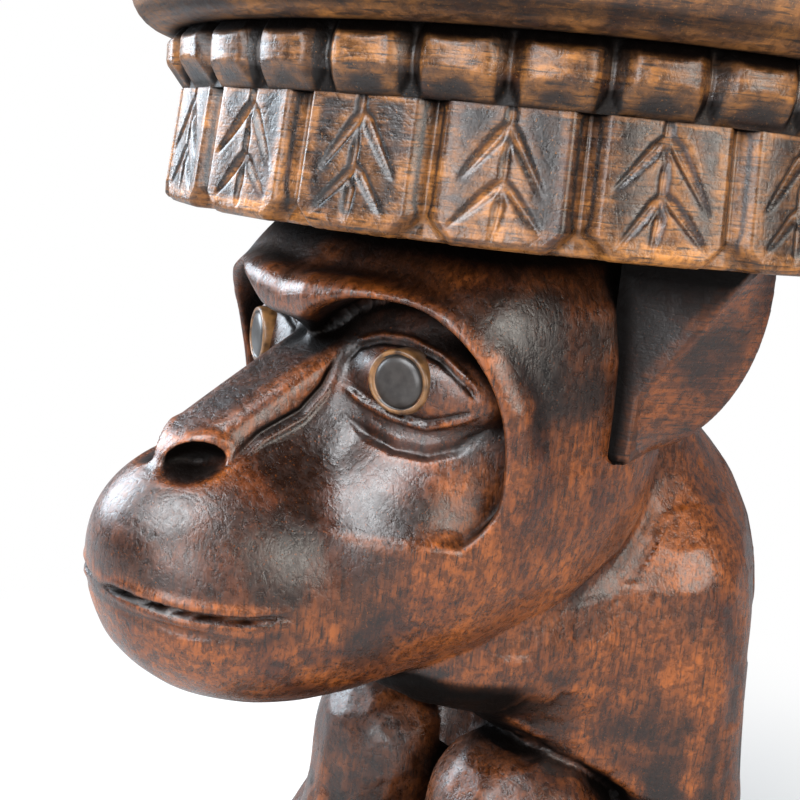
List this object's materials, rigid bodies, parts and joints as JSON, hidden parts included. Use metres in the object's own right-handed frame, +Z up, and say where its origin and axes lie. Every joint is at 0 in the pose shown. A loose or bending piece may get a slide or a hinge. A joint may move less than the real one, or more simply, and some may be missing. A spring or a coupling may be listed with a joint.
{
  "type": "carved wooden stool",
  "caption": "Round carved wooden stool: a crouching monkey figure on a round base carries a crown of leaf panels and beads under a flat seat.",
  "frame": {"origin": "centre of the base's underside, on the floor", "axes": "+Z up, the figure faces -Y, its left side is +X"},
  "size_m": [0.3299, 0.3477, 0.45],
  "materials": {
    "seat_wood": "waxed dark brown hardwood, worn edge",
    "crown_wood": "waxed dark brown hardwood, rubbed to ochre on the high faces",
    "figure_wood": "waxed dark brown hardwood, rubbed to red-brown and ochre",
    "ear_wood": "waxed dark brown hardwood",
    "eye_wood": "polished near-black hardwood",
    "base_wood": "waxed dark brown hardwood",
    "dowel_wood": "plain pale hardwood"
  },
  "bodies": {
    "root": {"seat_slab": "seat_wood", "bead_course": "crown_wood", "leaf_course": "crown_wood", "head": "figure_wood", "ear_left": "ear_wood", "ear_right": "ear_wood", "eye_left": "eye_wood", "eye_right": "eye_wood", "torso": "figure_wood", "forearm_left": "figure_wood", "forearm_right": "figure_wood", "leg_left": "figure_wood", "leg_right": "figure_wood", "foot_left": "figure_wood", "foot_right": "figure_wood", "base": "base_wood", "ring_dowels": "dowel_wood", "post_dowels": "dowel_wood", "face_dowels": "dowel_wood", "ear_pegs": "dowel_wood", "base_dowels": "dowel_wood", "limb_pegs": "dowel_wood"}
  },
  "joints": []
}
